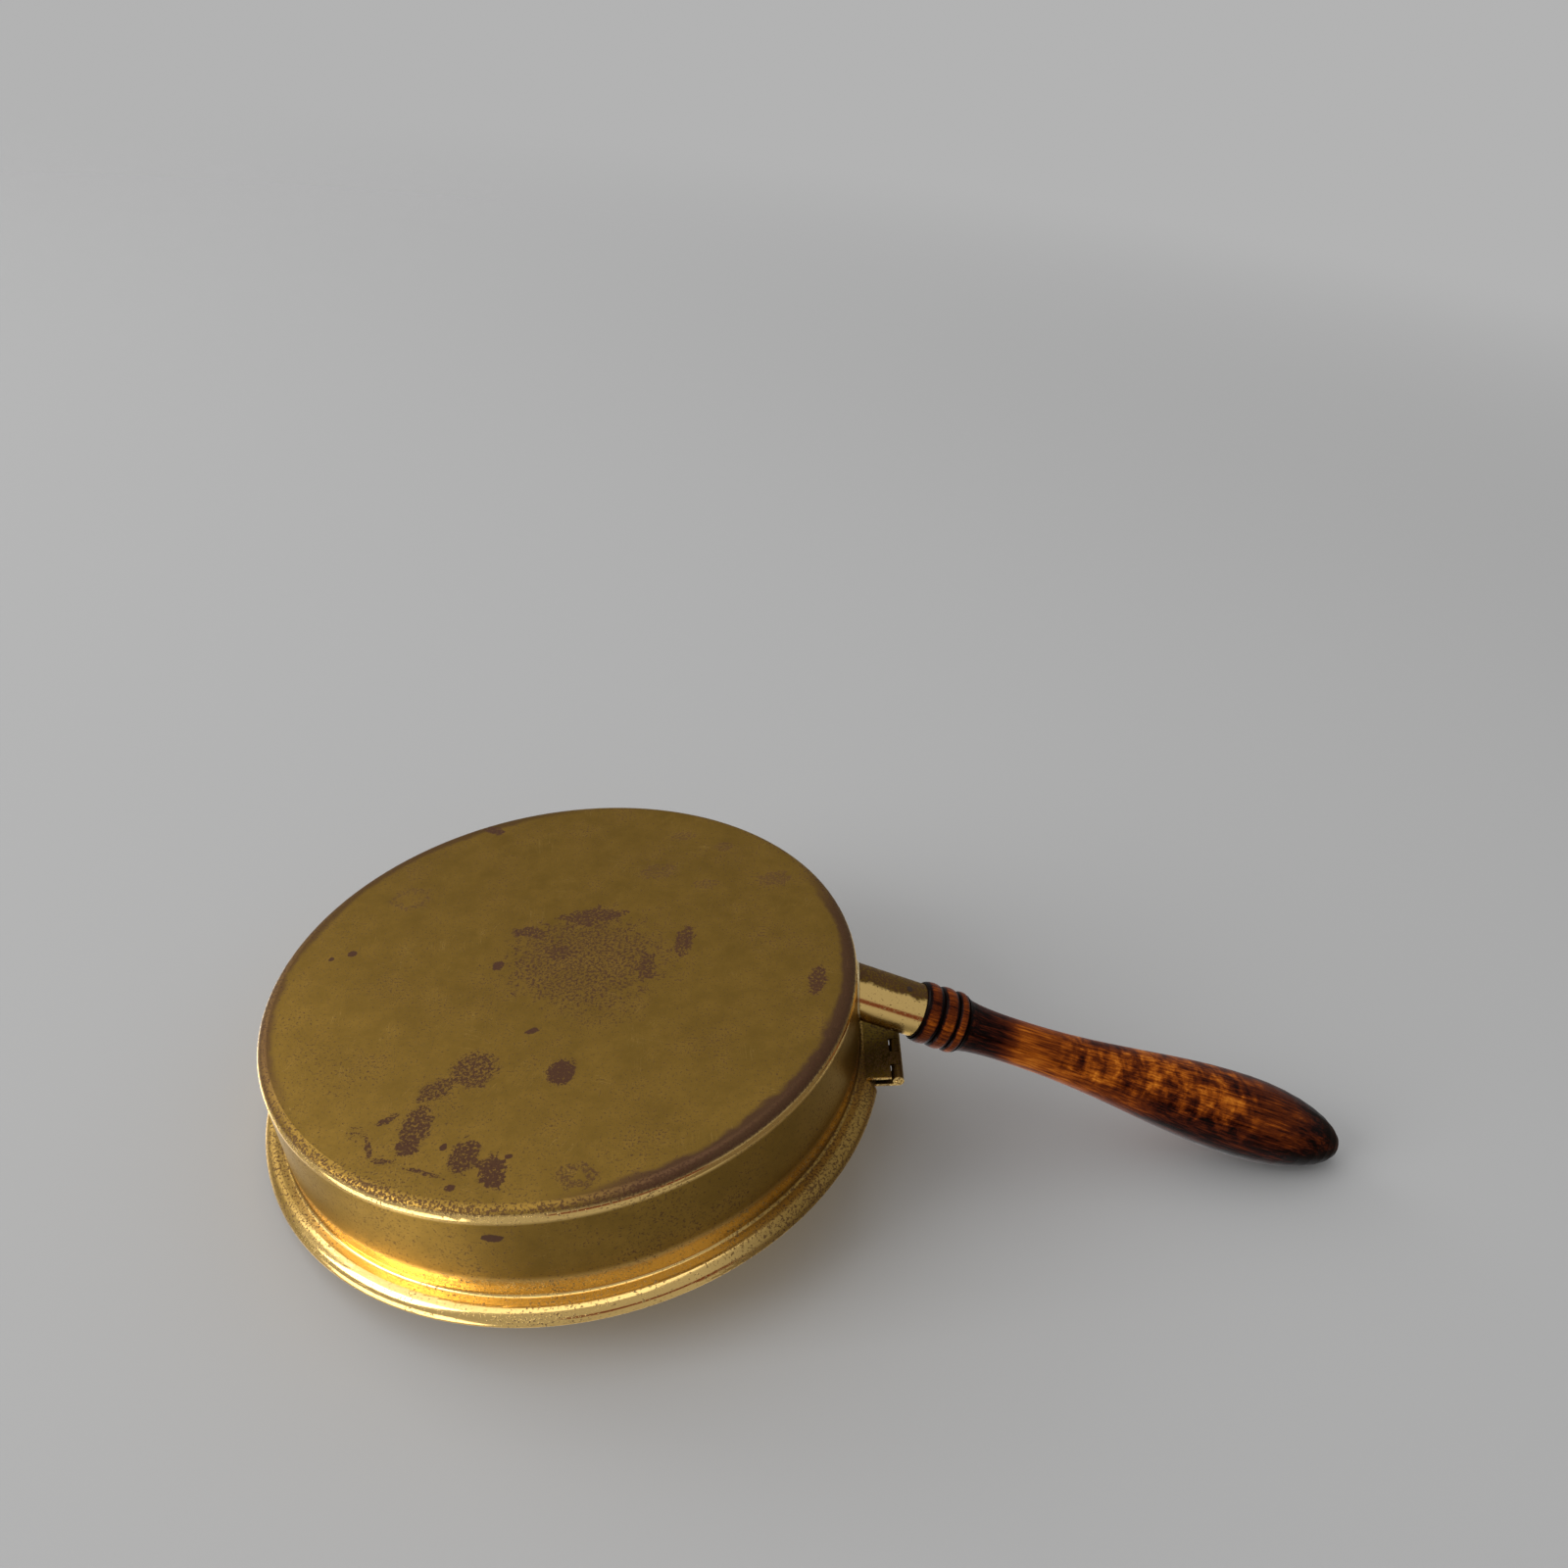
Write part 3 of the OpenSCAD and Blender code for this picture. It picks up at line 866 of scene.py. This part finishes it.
@dataclass(frozen=True)
class WoodFinish:
    """Stained, lacquered wood with a curly figure; its spans and lengths are in millimetres."""

    name: str = "lacquered_wood"
    light: Colour = paint(204, 120, 34)
    amber: Colour = paint(144, 70, 12)
    brown: Colour = paint(90, 36, 6)
    red: Colour = paint(46, 11, 3)
    black: Colour = paint(10, 2, 1)
    length: float = 165.0
    curl_start: Span = (55.0, 72.0)
    curl_end: Span = (134.0, 118.0)
    lower_shade_span: Span = (72.0, 95.0)
    rings_end: Span = (33.5, 31.5)
    groove: Span = (8.85, 8.4)
    # how light the wood is along its length, from the ferrule's foot to the handle's end
    stops: tuple[Span, ...] = (
        (0.0, 0.42), (0.185, 0.44), (0.205, 0.1), (0.262, 0.2), (0.3, 0.6), (0.38, 0.56),
        (0.5, 0.46), (0.6, 0.52), (0.72, 0.38), (0.82, 0.32), (0.92, 0.1), (1.0, -0.1),
    )

    def make(self, axis: HandleAxis) -> bpy.types.Material:
        """Build the material along the handle's own axis.

        Args:
            axis: The handle's axis.

        Returns:
            The finished material.
        """
        material, recipe, shader = principled(self.name)
        place = axis.place(recipe)
        fibre = recipe.noise(self._stretched(recipe, place, 1.7, 0.1), 1.0, 5.0, 0.7, 0.2)
        cloud = recipe.noise(self._stretched(recipe, place, 0.16, 0.06), 1.0, 3.0, 0.5, 0.4)
        colours = [(0.0, self.black), (0.16, self.red), (0.42, self.brown), (0.66, self.amber),
                   (0.95, self.light)]
        colour = recipe.ramp(self._tone(recipe, place, fibre, cloud), colours)
        pore = recipe.noise(self._stretched(recipe, place, 3.2, 0.12), 1.0, 2.0, 0.5)
        pores = recipe.step(pore, 0.62, 0.7, 0.5)
        recipe.feed(shader.inputs["Base Color"], recipe.mix(pores, colour, self.red))
        rough = recipe.math("ADD", recipe.math("MULTIPLY", cloud, 0.2), 0.28)
        recipe.feed(shader.inputs["Roughness"], rough)
        shader.inputs["Specular IOR Level"].default_value = 0.03
        shader.inputs["Coat Weight"].default_value = 0.05
        shader.inputs["Coat Roughness"].default_value = 0.12
        height = recipe.math("MULTIPLY", recipe.math("SUBTRACT", fibre, pores), 0.03)
        recipe.feed(shader.inputs["Normal"], recipe.bump(height))
        return material

    def _tone(self, recipe: Recipe, place: Socket, fibre: Socket, cloud: Socket) -> Socket:
        """Work out how light the wood is: its stain, grain and curly figure, with painted shade on its
        lower side and in its grooves.

        Args:
            recipe: The material's recipe.
            place: Position along the handle's axis.
            fibre: The noise of the fibres.
            cloud: The noise of the broad patches.

        Returns:
            The tone, from 0 to 1.
        """
        under, side, along = recipe.split(place)
        radius = recipe.distance(under, side)
        tone = recipe.ramp(recipe.math("DIVIDE", along, self.length),
                           [(position, (light,) * 3) for position, light in self.stops])
        streak = recipe.noise(self._stretched(recipe, place, 0.35, 0.03), 1.0, 4.0, 0.6, 0.4)
        for noise, share in ((fibre, 1.3), (streak, 0.9), (cloud, 0.6)):
            layer = recipe.math("MULTIPLY", recipe.math("SUBTRACT", noise, 0.5), share)
            tone = recipe.math("ADD", tone, layer)
        curl = recipe.noise(self._stretched(recipe, place, 0.17, 0.27), 1.0, 4.0, 0.55, 0.35)
        figured = recipe.math("MULTIPLY", recipe.step(along, *self.curl_start),
                              recipe.step(along, *self.curl_end))
        toward = recipe.math("ADD", recipe.math("MULTIPLY", under, 0.93),
                             recipe.math("MULTIPLY", side, 0.37))
        facing = recipe.step(recipe.math("DIVIDE", toward, radius), 0.2, 0.7)
        figured = recipe.math("MULTIPLY", figured, facing)
        flames = recipe.math("MULTIPLY", recipe.math("SUBTRACT", curl, 0.5), 1.7)
        tone = recipe.math("ADD", tone, recipe.math("MULTIPLY", flames, figured))
        # painted shade: from about 72 mm along the axis, the side of the handle that faces away from the
        # pan's underside is darker
        lower = recipe.math("SUBTRACT", recipe.math("MULTIPLY", side, 0.87),
                            recipe.math("MULTIPLY", under, 0.5))
        lower = recipe.step(recipe.math("DIVIDE", lower, radius), 0.35, 0.9, 0.26)
        lower = recipe.math("MULTIPLY", lower, recipe.step(along, *self.lower_shade_span))
        tone = recipe.math("SUBTRACT", tone, lower)
        # painted shade: darker where the radius dips into the grooves near the ferrule
        groove_shade = recipe.math("MULTIPLY", recipe.step(along, *self.rings_end),
                            recipe.step(radius, *self.groove))
        return recipe.math("SUBTRACT", tone, recipe.math("MULTIPLY", groove_shade, 0.7), clamp=True)

    @staticmethod
    def _stretched(recipe: Recipe, place: Socket, across: float, down: float) -> Socket:
        """Give a position the grain's own scale.

        Args:
            recipe: The material's recipe.
            place: Position along the handle's axis.
            across: The scale across the fibres.
            down: The scale along them.

        Returns:
            The scaled position.
        """
        node = recipe.add("ShaderNodeVectorMath", operation="MULTIPLY")
        recipe.feed(node.inputs[0], place)
        node.inputs[1].default_value = (across, across, down)
        return node.outputs[0]


@dataclass
class Handle:
    """The turned wooden handle."""

    axis: HandleAxis

    def build(self) -> None:
        """Dress the handle."""
        dress("handle", WoodFinish().make(self.axis))
        LOG.info("handle dressed")


# --------------------------------------------------------------------------- studio


class Lies(Enum):
    """Which way up the part lies on a floor, as the floor's turn about X in degrees."""

    ON_ITS_LID = 180.0
    ON_ITS_PAN = 0.0


@dataclass(frozen=True)
class Panel:
    """A lamp or a card: its place from the part and its size in metres, its power or its shade."""

    name: str
    place: tuple[float, float, float]
    width: float
    height: float
    power: float = 0.0
    shade: Colour = (0.0, 0.0, 0.0)


@dataclass(frozen=True)
class Floor:
    """A floor: how the part lies on it, its tilt in degrees and its shade."""

    name: str
    part: Lies
    tilt: float
    shade: float


@dataclass
class Studio:
    """Camera, world, lamps, cards and floors around the part, which the camera sees lying on its lid."""

    eye: Vector = field(default_factory=lambda: Vector((75.6, 270.3, -234.5)) * MM)
    aim: Vector = field(default_factory=lambda: Vector((65.3, -6.1, -54.5)) * MM)
    roll: float = -3.88
    lens: float = 29.25
    sensor: float = 36.0
    grey: float = 0.45
    centre: Vector = field(default_factory=lambda: Vector((30, 0, 15)) * MM)
    lamps: tuple[Panel, ...] = (
        Panel("key", (-3.2, 1.6, -2.2), 2.4, 2.4, power=120),
        Panel("overhead", (-1.2, 0.0, -3.5), 4.4, 4.4, power=66),
        Panel("back_left", (-3.0, -2.0, -2.0), 2.4, 2.4, power=30),
        Panel("low_left", (-2.9, 1.9, 2.0), 3.0, 2.0, power=52),
        Panel("low_back_left", (-2.7, -2.0, 1.5), 1.8, 1.4, power=26),
        Panel("lid_side", (-0.8, -1.2, 3.6), 4.0, 4.0, power=36),
    )
    flags: tuple[Panel, ...] = (
        Panel("flag_right", (0.85, 0.1, 0.45), 1.6, 0.75, shade=(0.12, 0.1, 0.08)),
        Panel("flag_viewer", (0.34, 0.905, 0.06), 0.9, 0.26, shade=(0.16, 0.035, 0.02)),
    )
    floor_gap: float = 0.0002
    floor_size: float = 12.0
    floor_fade: Span = (2.2, 0.6)
    lid_reach: Span = (0.3, 0.27)
    veil_height: float = -0.2
    floors: tuple[Floor, ...] = (
        Floor("floor_under_lid", Lies.ON_ITS_LID, -10.0, shade=0.42),
        Floor("floor_under_pan", Lies.ON_ITS_PAN, 0.0, shade=0.56),
    )

    def build(self) -> None:
        """Set up camera, world, lamps, flags and floors."""
        self._camera()
        self._world()
        for panel in self.lamps:
            self._lamp(panel)
        for panel in self.flags:
            self._flag(panel)
        for floor in self.floors:
            self._floor(floor)
        self._veil()
        bpy.context.scene.view_settings.view_transform = "Standard"
        LOG.info("studio ready")

    def _camera(self) -> None:
        """Place the camera, with the part's underside up in its view."""
        forward = (self.aim - self.eye).normalized()
        right = forward.cross(Vector((0, 0, -1))).normalized()
        turn = Matrix((right, right.cross(forward), -forward)).transposed()
        turn = turn @ Matrix.Rotation(math.radians(self.roll), 3, "Z")
        data = bpy.data.cameras.new("camera")
        data.lens, data.sensor_width = self.lens, self.sensor
        data.clip_start = 0.01
        camera = bpy.data.objects.new("camera", data)
        camera.matrix_world = Matrix.Translation(self.eye) @ turn.to_4x4()
        bpy.context.scene.collection.objects.link(camera)
        bpy.context.scene.camera = camera

    def _world(self) -> None:
        """Make a plain grey world."""
        world = bpy.data.worlds.new("world")
        world.use_nodes = True
        world.node_tree.nodes["Background"].inputs[0].default_value = (*(self.grey,) * 3, 1.0)
        bpy.context.scene.world = world

    def _facing(self, panel: Panel) -> Matrix:
        """Turn a panel toward the part.

        Args:
            panel: The panel.

        Returns:
            Its place and turn.
        """
        spot = self.centre + Vector(panel.place)
        turn = (self.centre - spot).to_track_quat("-Z", "Y").to_matrix()
        return Matrix.Translation(spot) @ turn.to_4x4()

    def _lamp(self, panel: Panel) -> None:
        """Add a soft lamp that faces the part.

        Args:
            panel: The lamp's place, size and power.
        """
        data = bpy.data.lights.new(panel.name, "AREA")
        data.shape = "RECTANGLE"
        data.size, data.size_y, data.energy = panel.width, panel.height, panel.power
        lamp = bpy.data.objects.new(panel.name, data)
        lamp.matrix_world = self._facing(panel)
        lamp.visible_camera = False
        bpy.context.scene.collection.objects.link(lamp)

    @staticmethod
    def _sheet(name: str, size: float, height: float, material: bpy.types.Material) -> bpy.types.Object:
        """Add a flat sheet for the studio.

        Args:
            name: The sheet's name.
            size: Its side, in metres.
            height: Its height above the origin, in metres.
            material: Its material.

        Returns:
            The sheet, which casts no shadow and gives no light.
        """
        bpy.ops.object.select_all(action="DESELECT")
        bpy.ops.mesh.primitive_plane_add(size=size, location=(0, 0, height))
        sheet = bpy.context.active_object
        sheet.name = name
        sheet.data.materials.append(material)
        sheet.visible_shadow = sheet.visible_diffuse = False
        return sheet

    def _flag(self, panel: Panel) -> None:
        """Add a dark card that only reflections see.

        Args:
            panel: The card's place, size and shade.
        """
        material, recipe, shader = principled(panel.name)
        recipe.feed(shader.inputs["Base Color"], panel.shade)
        shader.inputs["Roughness"].default_value = 1.0
        card = self._sheet(panel.name, 1.0, 0.0, material)
        card.matrix_world = self._facing(panel) @ Matrix.Diagonal((panel.width, panel.height, 1, 1))
        card.visible_camera = False

    def _height(self, floor: Floor) -> float:
        """Work out the height at which a floor lies just clear of the part.

        Args:
            floor: The floor's tilt and the side of the part that it is on.

        Returns:
            The height above the origin, in metres.
        """
        slope = math.tan(math.radians(floor.tilt))
        heights = [corner.co.z + slope * corner.co.x
                   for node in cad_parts.values() for corner in node.data.vertices]
        if floor.part is Lies.ON_ITS_LID:
            return max(heights) + self.floor_gap
        return min(heights) - self.floor_gap

    def _floor(self, floor: Floor) -> None:
        """Lay a plain floor, seen from its upper side only, that fades out far away.

        Args:
            floor: The floor's tilt, shade and side of the part.
        """
        material, recipe, shader = principled(floor.name)
        recipe.feed(shader.inputs["Base Color"], (floor.shade,) * 3)
        shader.inputs["Roughness"].default_value = 1.0
        shader.inputs["Specular IOR Level"].default_value = 0.0
        geometry = recipe.add("ShaderNodeNewGeometry")
        shown = recipe.math("SUBTRACT", 1.0, geometry.outputs["Backfacing"])
        if floor.part is Lies.ON_ITS_LID:
            crossed = recipe.add("ShaderNodeLightPath").outputs["Transparent Depth"]
            shown = recipe.math("MULTIPLY", shown, recipe.math("MINIMUM", crossed, 1.0))
        away = recipe.add("ShaderNodeVectorMath", operation="LENGTH")
        recipe.feed(away.inputs[0], geometry.outputs["Position"])
        far = away.outputs["Value"]
        shown = recipe.math("MULTIPLY", shown, recipe.step(far, *self.floor_fade))
        surface = self._see_through(recipe, shader.outputs[0], recipe.math("SUBTRACT", 1.0, shown))
        surface = self._clear_lid(recipe, surface, far)
        recipe.feed(material.node_tree.nodes["Material Output"].inputs["Surface"], surface)
        plane = self._sheet(floor.name, self.floor_size, self._height(floor), material)
        plane.rotation_euler = Euler((math.radians(floor.part.value), math.radians(floor.tilt), 0))
        plane.visible_glossy = False

    def _clear_lid(self, recipe: Recipe, surface: Socket, far: Socket) -> Socket:
        """Fade a floor out over an opened lid that reaches through it.

        Args:
            recipe: The floor's recipe.
            surface: The floor's shader.
            far: Distance from the origin.

        Returns:
            The shader that lets the lid show.
        """
        behind = recipe.add("ShaderNodeAmbientOcclusion", inside=True, samples=8)
        behind.inputs["Distance"].default_value = self.lid_reach[0]
        cleared = self._see_through(recipe, surface, recipe.step(behind.outputs["AO"], 0.99, 0.88))
        mix = recipe.add("ShaderNodeMixShader")
        for socket, value in zip(mix.inputs, (recipe.step(far, *self.lid_reach), surface, cleared)):
            recipe.feed(socket, value)
        return mix.outputs[0]

    @staticmethod
    def _see_through(recipe: Recipe, surface: Socket, share: Value) -> Socket:
        """Leave a share of a surface out.

        Args:
            recipe: The surface's recipe.
            surface: The surface's shader.
            share: The share that is seen through.

        Returns:
            The shader of what is left.
        """
        mix = recipe.add("ShaderNodeMixShader")
        clear = recipe.add("ShaderNodeBsdfTransparent").outputs[0]
        for socket, value in zip(mix.inputs, (share, surface, clear)):
            recipe.feed(socket, value)
        return mix.outputs[0]

    def _veil(self) -> None:
        """Hang a clear sheet under the pan: the lid's floor shows only through it."""
        material, recipe, _ = principled("veil")
        clear = recipe.add("ShaderNodeBsdfTransparent").outputs[0]
        recipe.feed(material.node_tree.nodes["Material Output"].inputs["Surface"], clear)
        sheet = self._sheet("veil", self.floor_size, self.veil_height, material)
        sheet.visible_glossy = False


def main() -> None:
    """Build the looks in order."""
    logging.basicConfig(level=logging.INFO, format="%(name)s: %(message)s")
    Studio().build()
    effects, axis = Effects(), HandleAxis()
    for part in (PanBody(effects), LidBody(effects), Hinge(effects), Ferrule(effects, axis), Handle(axis)):
        part.build()


if __name__ == "__main__":
    main()
